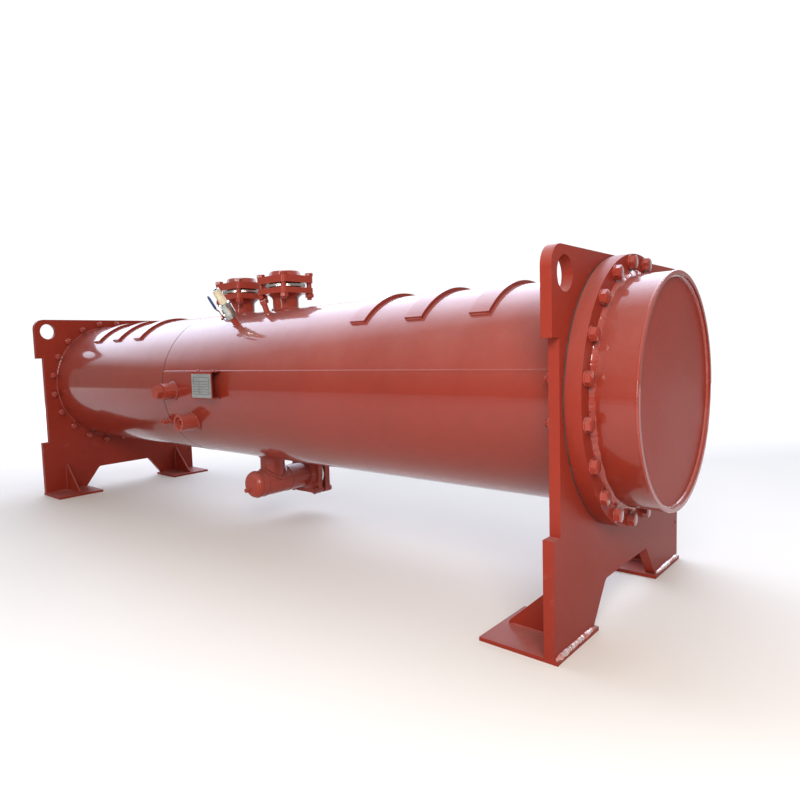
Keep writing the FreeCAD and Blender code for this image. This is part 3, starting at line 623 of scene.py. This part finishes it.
strip_welds = Shape()
for end in ENDS:
    spot = middle(f"top_strips_{end}_end")
    for step in (-1, 0, 1):
        x = spot.x + step * STRIP_PITCH[end]
        for side in SIDES:
            out = Vector((0, side * math.sin(STRIP_SPREAD), math.cos(STRIP_SPREAD)))
            down = Vector((0, side * math.cos(STRIP_SPREAD), -math.sin(STRIP_SPREAD)))
            point = at_axis(0) + out * (SHELL_RADIUS + STRIP_WELD_OFF)
            bead(strip_welds, *line_path((x - STRIP_HALF, point.y, point.z),
                                         (x + STRIP_HALF, point.y, point.z), out + down), 0.0038,
                 wild=0.2)
strip_welds.build("strip_welds", WELD)

# ---------------------------------------------------------------- square bolted joints

LEVEL_OUT = {"top_nozzle_plain_side": (0, 0, 1), "top_nozzle_water_side": (0, 0, 1), "outlet": (0, 1, 0)}
HUB_HEIGHT = 0.016
BOSS_HEIGHT = 0.020

for name, out in LEVEL_OUT.items():
    out = Vector(out)
    flange_low, flange_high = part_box(f"{name}_flange")
    _, blank_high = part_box(f"{name}_blank_flange")
    spot = (flange_low + flange_high) / 2
    nut_seat = flange_low.dot(out) + HUB_HEIGHT
    head_seat = blank_high.dot(out) - BOSS_HEIGHT
    across = (Vector((1, 0, 0)), out.cross(Vector((1, 0, 0))))
    bolts = Shape()
    for first in SIDES:
        for second in SIDES:
            base = spot + across[0] * first * SQUARE_BOLT_PLACE + across[1] * second * SQUARE_BOLT_PLACE
            base -= out * base.dot(out)
            add_bolt(bolts, base + out * head_seat, base + out * nut_seat, across[0], washer=False)
    bolts.build(f"{name}_bolts", BOLT)

BARREL_JOINT = 0.062
BARREL_END_SEAM = 0.026
BARREL_SEAM_HIGH = 0.0020
SADDLE_POINTS = 80
PLUG_WELD_RADIUS = 0.0095

root_welds = Shape()
for nozzle in ("top_nozzle_plain_side", "top_nozzle_water_side"):
    neck_low, neck_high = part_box(f"{nozzle}_neck")
    spot = (neck_low + neck_high) / 2
    radius = (neck_high.x - neck_low.x) / 2
    bead(root_welds, *seat_path((spot.x, CENTRE.y, CENTRE.z), (0, 0, 1), radius + WELD_OFF, CENTRE,
                                SHELL_RADIUS + WELD_OFF), NOZZLE_WELD, closed=True)
    bead(root_welds, *circle_path((spot.x, spot.y, neck_high.z), (0, 0, 1), radius), 0.0040, 0.0022,
         closed=True)
drop_low, drop_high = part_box("outlet_drop_pipe")
drop = (drop_low + drop_high) / 2
drop_radius = (drop_high.x - drop_low.x) / 2
bead(root_welds, *seat_path((drop.x, CENTRE.y, CENTRE.z), (0, 0, -1), drop_radius + WELD_OFF, CENTRE,
                            SHELL_RADIUS + WELD_OFF), NOZZLE_WELD, closed=True)
barrel_low, barrel_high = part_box("outlet_barrel")
barrel_z = (barrel_low.z + barrel_high.z) / 2
barrel_radius = (barrel_high.x - barrel_low.x) / 2
for y, width in ((barrel_low.y + BARREL_END_SEAM, 0.0040), (CENTRE.y - BARREL_JOINT, 0.0044),
                 (CENTRE.y + BARREL_JOINT + 0.004, 0.0044), (barrel_high.y, 0.0040)):
    bead(root_welds, *circle_path((drop.x, y, barrel_z), (0, 1, 0), barrel_radius), width,
         BARREL_SEAM_HIGH, closed=True)

# The drop pipe's weld follows a saddle over the barrel.
points = []
outs = []
for index in range(SADDLE_POINTS):
    angle = 2 * math.pi * index / SADDLE_POINTS
    away = Vector((math.cos(angle), math.sin(angle), 0))
    reach = math.sqrt(max(0.0, barrel_radius ** 2 - (drop_radius * math.cos(angle)) ** 2))
    points.append(Vector((drop.x, CENTRE.y, barrel_z + reach)) + away * (drop_radius + WELD_OFF))
    outs.append((away + Vector((away.x, 0, reach / barrel_radius))).normalized())
bead(root_welds, points, outs, 0.0075, closed=True, wild=0.08)
plug = middle("outlet_drain_plug")
bead(root_welds, *circle_path((plug.x, barrel_low.y + SMALL_WELD_OFF, plug.z), (0, 1, 0),
                              PLUG_WELD_RADIUS), 0.0028, closed=True)
root_welds.build("nozzle_welds", WELD)

# ---------------------------------------------------------------- couplings and stubs

COUPLING_RADIUS = 0.033
VALVE_PIPE_RADIUS = 0.01345
VENT_WELD_RADIUS = 0.0115
LEVEL = Vector((0, -1, 0))
PEG_INSETS = (0.030, 0.004)
PEG_BACK = 0.012
PEG_PROFILE = [(0.0062, -0.001), (0.0062, 0.0035), (0.0050, 0.0058), (0.0020, 0.0070)]

side_welds = Shape()
coupling_low, coupling_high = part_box("side_couplings")
for x, z in ((coupling_low.x + COUPLING_RADIUS, coupling_high.z - COUPLING_RADIUS),
             (coupling_high.x - COUPLING_RADIUS, coupling_low.z + COUPLING_RADIUS)):
    bead(side_welds, *seat_path((x, CENTRE.y, z), LEVEL, COUPLING_RADIUS + WELD_OFF, CENTRE,
                                SHELL_RADIUS + WELD_OFF), 0.0062, closed=True, wild=0.16)
stub_low, stub_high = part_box("side_stub")
stub = (stub_low + stub_high) / 2
stub_radius = (stub_high.x - stub_low.x) / 2
bead(side_welds, *seat_path((stub.x, CENTRE.y, stub.z), LEVEL, stub_radius + SMALL_WELD_OFF, CENTRE,
                            SHELL_RADIUS + SMALL_WELD_OFF), 0.0042, closed=True)
joint = frame["joints"][0]
pivot = Vector(joint["pos_m"])
pipe_out = Vector((0, pivot.y - CENTRE.y, pivot.z - CENTRE.z)).normalized()
bead(side_welds, *seat_path((pivot.x, CENTRE.y, CENTRE.z), pipe_out, VALVE_PIPE_RADIUS + SMALL_WELD_OFF,
                            CENTRE, SHELL_RADIUS + SMALL_WELD_OFF), 0.0045, closed=True)
vent = middle("vent_stub")
vent_out = Vector((0, vent.y - CENTRE.y, vent.z - CENTRE.z)).normalized()
bead(side_welds, *seat_path((vent.x, CENTRE.y, CENTRE.z), vent_out, VENT_WELD_RADIUS, CENTRE,
                            SHELL_RADIUS + SMALL_WELD_OFF), 0.0040, closed=True)
bracket_low, bracket_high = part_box("nameplate_bracket")
for z in (bracket_low.z, bracket_high.z):
    height = z - CENTRE.z
    y = CENTRE.y - math.sqrt(SHELL_RADIUS ** 2 - height ** 2) - SMALL_WELD_OFF
    out = Vector((0, -1, 1 if z == bracket_high.z else -1))
    bead(side_welds, *line_path((bracket_low.x + 0.004, y, z), (bracket_high.x - 0.004, y, z), out),
         0.0034)
side_welds.build("side_welds", WELD)

pegs = Shape()
for x in (bracket_low.x + PEG_INSETS[0], bracket_high.x - PEG_INSETS[1]):
    place = facing((x, bracket_low.y + PEG_BACK, bracket_high.z), (0, 0, 1), (1, 0, 0))
    pegs.add(*turned(PEG_PROFILE, 16), place)
pegs.build("bracket_pegs", WELD)

# ---------------------------------------------------------------- the nameplate

RIVET_INSET = 0.006
RIVET_PROFILE = [(0.0026, -0.0005), (0.0026, 0.0004), (0.0019, 0.0012), (0.0008, 0.0016)]
RULE_INSET = 0.013
RULE_HALF = 0.0006
RULE_PROUD = 0.0002
RULE_ROWS = (0.0, 0.15, 0.30, 0.45, 0.60, 0.75, 1.0)
RULE_SPLIT = 0.36

plate_low, plate_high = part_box("nameplate")
rivets = Shape()
for x in (plate_low.x + RIVET_INSET, plate_high.x - RIVET_INSET):
    for z in (plate_low.z + RIVET_INSET, plate_high.z - RIVET_INSET):
        place = facing((x, plate_low.y, z), (0, -1, 0), (1, 0, 0))
        rivets.add(*turned(RIVET_PROFILE, 14), place)
rivets.build("nameplate_rivets", NAMEPLATE)

# A ruled frame and blank rows stand for the plate's entries, with no lettering.
rules = Shape()


def add_rule(x_low, x_high, z_low, z_high):
    """A thin raised bar on the plate's face."""
    verts = [(x, y, z) for y in (plate_low.y - RULE_PROUD, plate_low.y + RULE_PROUD)
             for x, z in ((x_low, z_low), (x_high, z_low), (x_high, z_high), (x_low, z_high))]
    rules.add(verts, [[0, 1, 2, 3], [7, 6, 5, 4], [4, 5, 1, 0], [5, 6, 2, 1], [6, 7, 3, 2], [7, 4, 0, 3]])


rule_left, rule_right = plate_low.x + RULE_INSET, plate_high.x - RULE_INSET
rule_foot, rule_head = plate_low.z + RULE_INSET, plate_high.z - RULE_INSET
for share in RULE_ROWS:
    level = rule_foot + (rule_head - rule_foot) * share
    add_rule(rule_left, rule_right, level - RULE_HALF, level + RULE_HALF)
for share in (0.0, RULE_SPLIT, 1.0):
    x = rule_left + (rule_right - rule_left) * share
    top = rule_foot + (rule_head - rule_foot) * RULE_ROWS[-2] if share == RULE_SPLIT else rule_head
    add_rule(x - RULE_HALF, x + RULE_HALF, rule_foot, top)
rules.build("nameplate_rules", RULES)

# ---------------------------------------------------------------- water nozzles

water_welds = Shape()
for name in ("upper", "lower"):
    pipe_low, pipe_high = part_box(f"water_pipe_{name}")
    spot = (pipe_low + pipe_high) / 2
    radius = (pipe_high.z - pipe_low.z) / 2
    for x, way, width in ((pipe_high.x, -1, 0.0055), (pipe_low.x, 1, 0.0050)):
        bead(water_welds, *circle_path((x, spot.y, spot.z), (way, 0, 0), radius + WELD_OFF, LEAN), width,
             closed=True, wild=0.16)
water_welds.build("water_pipe_welds", WELD)

# ---------------------------------------------------------------- the small valve

stem_out = Vector(joint["axis"]).normalized()
valve_y = -stem_out
valve_x = valve_y.cross(pipe_out)
valve_turn = Matrix((valve_x, valve_y, pipe_out)).transposed().to_4x4()
valve_place = Matrix.Translation(pivot) @ valve_turn

# Tape is wound over the outlet pipe in lapped turns, thinner towards the pipe's end.
WRAP_START = 0.046
WRAP_LONG = 0.057
WRAP_RADIUS = 0.0160
WRAP_TAPER = 0.0016
WRAP_TURNS = 7
WRAP_ROWS = 90
WRAP_ROUNDED = 0.86
TAPE_THICK = 0.0006
TAPE_PUCKER = 0.00018
TAPE_CLEAR = 0.0002
AROUND = 28

wrap = Shape()
rows = []
for index in range(WRAP_ROWS + 1):
    share = index / WRAP_ROWS
    rows.append((WRAP_RADIUS - WRAP_TAPER * share, WRAP_START + WRAP_LONG * share, share))
verts = []
for radius, level, share in rows:
    for step in range(AROUND):
        angle = 2 * math.pi * step / AROUND
        turn = (share * WRAP_TURNS + step / AROUND) % 1.0
        lap = TAPE_THICK * turn
        pucker = TAPE_PUCKER * math.sin(angle * 9 + share * 40)
        rounded = 0.0022 * max(0.0, (share - WRAP_ROUNDED) / (1.0 - WRAP_ROUNDED)) ** 2
        reach = radius + lap + pucker - rounded - (0.0004 if share in (0.0, 1.0) else 0.0)
        verts.append((reach * math.cos(angle), reach * math.sin(angle), level))
faces = ring_faces(len(rows), AROUND)
inner_start = len(verts)
for radius, level, share in (rows[-1], rows[0]):
    for step in range(AROUND):
        angle = 2 * math.pi * step / AROUND
        verts.append(((VALVE_PIPE_RADIUS + TAPE_CLEAR) * math.cos(angle),
                      (VALVE_PIPE_RADIUS + TAPE_CLEAR) * math.sin(angle), level))
last = (len(rows) - 1) * AROUND
for step in range(AROUND):
    following = (step + 1) % AROUND
    faces.append([last + step, last + following, inner_start + following, inner_start + step])
    faces.append([inner_start + step, inner_start + following,
                  inner_start + AROUND + following, inner_start + AROUND + step])
    faces.append([inner_start + AROUND + step, inner_start + AROUND + following, following, step])
wrap.add(verts, faces, valve_place)
tape = wrap.build("pipe_tape", TAPE)
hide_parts("pipe_wrap")

# The sleeve on the lever is dipped vinyl: a flat round-edged tube with a swollen middle.
SLEEVE_ROWS = 24
SLEEVE_AROUND = 28
SLEEVE_SWELL = 0.0012

grip = frame["nodes"]["lever_grip"]
grip_points = [grip.matrix_world @ vertex.co for vertex in grip.data.vertices]
grip_middle = sum(grip_points, Vector()) / len(grip_points)
grip_way = grip_middle - pivot
grip_way = (grip_way - grip_way.project(stem_out)).normalized()
grip_side = stem_out.cross(grip_way)


def grip_span(way):
    """How far the grip reaches each way along a direction."""
    reaches = [(point - grip_middle).dot(way) for point in grip_points]
    return min(reaches), max(reaches)


long_low, long_high = grip_span(grip_way)
side_low, side_high = grip_span(grip_side)
out_low, out_high = grip_span(stem_out)
sleeve = Shape()
verts = []
for row in range(SLEEVE_ROWS + 1):
    share = row / SLEEVE_ROWS
    ends = math.sqrt(max(1.0 - abs(2 * share - 1) ** 6, 0.02))
    wide = (side_high - side_low) / 2 * ends
    thick = ((out_high - out_low) / 2 + SLEEVE_SWELL) * ends
    for step in range(SLEEVE_AROUND):
        angle = 2 * math.pi * step / SLEEVE_AROUND
        across = math.copysign(abs(math.cos(angle)) ** 0.55, math.cos(angle))
        deep = math.copysign(abs(math.sin(angle)) ** 0.75, math.sin(angle))
        spot = (grip_middle + grip_way * (long_low + (long_high - long_low) * share)
                + grip_side * ((side_low + side_high) / 2 + wide * across)
                + stem_out * ((out_low + out_high) / 2 + thick * deep))
        verts.append(tuple(spot))
faces = ring_faces(SLEEVE_ROWS + 1, SLEEVE_AROUND)
faces.append(list(range(SLEEVE_AROUND))[::-1])
faces.append([SLEEVE_ROWS * SLEEVE_AROUND + step for step in range(SLEEVE_AROUND)])
sleeve.add(verts, faces)
sleeve_piece = sleeve.build("lever_sleeve", VINYL, LEVER_BODY)
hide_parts("lever_grip")

# ---------------------------------------------------------------- finishes on the CAD nodes

FINISH = {
    "tubesheet": PLATE, "foot_plates": PLATE, "gussets": PLATE, "ring_flange": PLATE, "gasket": GASKET,
    "water_box": SHELL, "end_cover": PLATE, "shell": SHELL, "top_strips": SHELL, "water_pipe": CAST,
    "water_flange": CAST, "side_couplings": CAST, "coupling_plugs": CAST, "side_stub": CAST,
    "vent": CAST, "outlet": CAST, "top_nozzle": CAST, "nameplate_bracket": PLATE,
    "valve_stub": CAST, "valve_body": VALVE, "valve_outlet_pipe": VALVE, "valve_lever": LEVER,
    "lever_grip": VINYL, "pipe_wrap": TAPE,
}
for name, node in frame["nodes"].items():
    if name.endswith("seal_ring"):
        finish = RING
    elif name == "nameplate":
        finish = NAMEPLATE
    else:
        finish = next(made for start, made in FINISH.items() if name.startswith(start))
    if not node.material_slots:
        node.data.materials.append(finish)
    for slot in node.material_slots:
        slot.material = finish

# ---------------------------------------------------------------- floor, light and camera

# The floor's far side glows white by emission: a painted glow standing in for a lit paper sweep, as the
# floor is flat and there is no wall.
GLOW_SIDE_WAY = (-0.69, 0.72, 0.0)
FLOOR_RADIUS = 9.0
bpy.ops.mesh.primitive_circle_add(vertices=96, radius=FLOOR_RADIUS, fill_type="NGON")
floor = bpy.context.object
floor.name = "floor"
material, tree, shader = new_material("pale_floor")
nodes = Nodes(tree)
nodes.link(nodes.ramp(nodes.noise(0.6, 3.0, 0.5), (0.3, (0.64, 0.615, 0.57)), (0.7, (0.68, 0.655, 0.61))),
           shader.inputs["Base Color"])
shader.inputs["Roughness"].default_value = 0.65
shader.inputs["Specular IOR Level"].default_value = 0.10
shader.inputs["Emission Color"].default_value = (1.0, 0.99, 0.98, 1.0)
spread = tree.nodes.new("ShaderNodeVectorMath")
spread.operation = "DOT_PRODUCT"
spread.inputs[1].default_value = [part / FLOOR_RADIUS for part in GLOW_SIDE_WAY]
tree.links.new(nodes.place, spread.inputs[0])
# Emission strength rises towards the far side: a painted glow, not a lamp.
nodes.link(nodes.ramp(spread.outputs["Value"], (0.10, 0.0), (0.62, 0.90)),
           shader.inputs["Emission Strength"])
floor.data.materials.append(material)

# The studio is bright above the exchanger and behind it, and dim and warm elsewhere.
DIM = (0.32, 0.29, 0.27)
WHITE = (1.02, 1.02, 1.04)
ROOF = (0.60, 0.55, 0.53)
SKY = (3.3, 3.7, 4.5)
world = bpy.data.worlds.new("studio")
world.use_nodes = True
tree = world.node_tree
studio = Nodes(tree, "Generated")
split = tree.nodes.new("ShaderNodeSeparateXYZ")
studio.link(studio.place, split.inputs["Vector"])
across = studio.maths("ADD", studio.maths("MULTIPLY", split.outputs["X"], GLOW_SIDE_WAY[0]),
                      studio.maths("MULTIPLY", split.outputs["Y"], GLOW_SIDE_WAY[1]))
wall = studio.ramp(across, (0.46, 0.0), (0.74, 1.0))
above = studio.ramp(split.outputs["Z"], (0.24, 0.0), (0.38, 1.0))
open_roof = studio.ramp(across, (0.22, 0.0), (0.58, 1.0))
tone = studio.mix(above, studio.mix(wall, DIM, WHITE), studio.mix(open_roof, ROOF, SKY))
studio.link(tone, tree.nodes["Background"].inputs["Color"])
tree.nodes["Background"].inputs["Strength"].default_value = 1.0
bpy.context.scene.world = world


def area_light(name, place, target, size, power, colour):
    """A rectangular soft light aimed at a point."""
    data = bpy.data.lights.new(name, "AREA")
    data.shape = "RECTANGLE"
    data.size, data.size_y = size
    data.energy = power
    data.color = colour
    lamp = bpy.data.objects.new(name, data)
    lamp.location = place
    away = Vector(place) - Vector(target)
    lamp.rotation_euler = away.to_track_quat("Z", "Y").to_euler()
    bpy.context.scene.collection.objects.link(lamp)
    return lamp


area_light("front_softbox", (2.7, -2.5, 2.1), (1.2, -0.2, 0.5), (1.6, 1.2), 102.0, (1.0, 0.96, 0.92))
area_light("side_strip", (0.8, -4.2, 1.0), (0.2, -0.3, 0.6), (0.5, 1.0), 20.0, (1.0, 0.98, 0.96))

CAMERA_PLACE = (2.06097, -1.72339, 0.71502)
CAMERA_LENS = 28.10
CAMERA_SHIFT = 0.0718
YAW = math.radians(43.54)
PITCH = math.radians(-4.62)
ROLL = math.radians(-2.05)
forward = Vector((-math.sin(YAW) * math.cos(PITCH), math.cos(YAW) * math.cos(PITCH), math.sin(PITCH)))
right = forward.cross(Vector((0, 0, 1))).normalized()
up = right.cross(forward)
rolled_right = right * math.cos(ROLL) + up * math.sin(ROLL)
rolled_up = up * math.cos(ROLL) - right * math.sin(ROLL)
camera_data = bpy.data.cameras.new("camera")
camera_data.lens = CAMERA_LENS
camera_data.sensor_width = 36.0
camera_data.shift_x = CAMERA_SHIFT
camera_data.clip_end = 200.0
camera = bpy.data.objects.new("camera", camera_data)
turn = Matrix((rolled_right, rolled_up, -forward)).transposed().to_4x4()
camera.matrix_world = Matrix.Translation(CAMERA_PLACE) @ turn
bpy.context.scene.collection.objects.link(camera)
bpy.context.scene.camera = camera

bpy.context.scene.view_settings.view_transform = "Standard"
